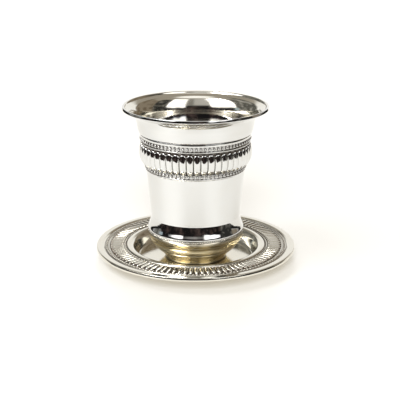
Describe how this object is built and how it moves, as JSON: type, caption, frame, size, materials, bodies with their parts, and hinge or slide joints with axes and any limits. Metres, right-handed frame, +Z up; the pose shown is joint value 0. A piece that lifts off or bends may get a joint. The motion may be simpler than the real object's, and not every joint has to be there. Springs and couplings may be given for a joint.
{
  "type": "kiddush cup with saucer",
  "caption": "Footed ceremonial wine cup in silver plate with a flared mouth and a gadrooned belt, resting loose on its ribbed and beaded saucer.",
  "frame": {"origin": "on the common axis of cup and saucer, at the level of the saucer's foot ring, where the set meets the table", "axes": "+Z up along the axis of revolution; +X and +Y are any two directions across, because cup and saucer are round"},
  "size_m": [0.1072, 0.1072, 0.0852],
  "materials": {
    "cup_silver": "mirror-polished silver plate, darker patina left in the hollows between the gadroons and beads",
    "saucer_silver": "polished silver plate with fine buffing haze and patina left between the ribs and beads"
  },
  "bodies": {
    "root": {"cup": "cup_silver", "saucer": "saucer_silver"}
  },
  "joints": []
}
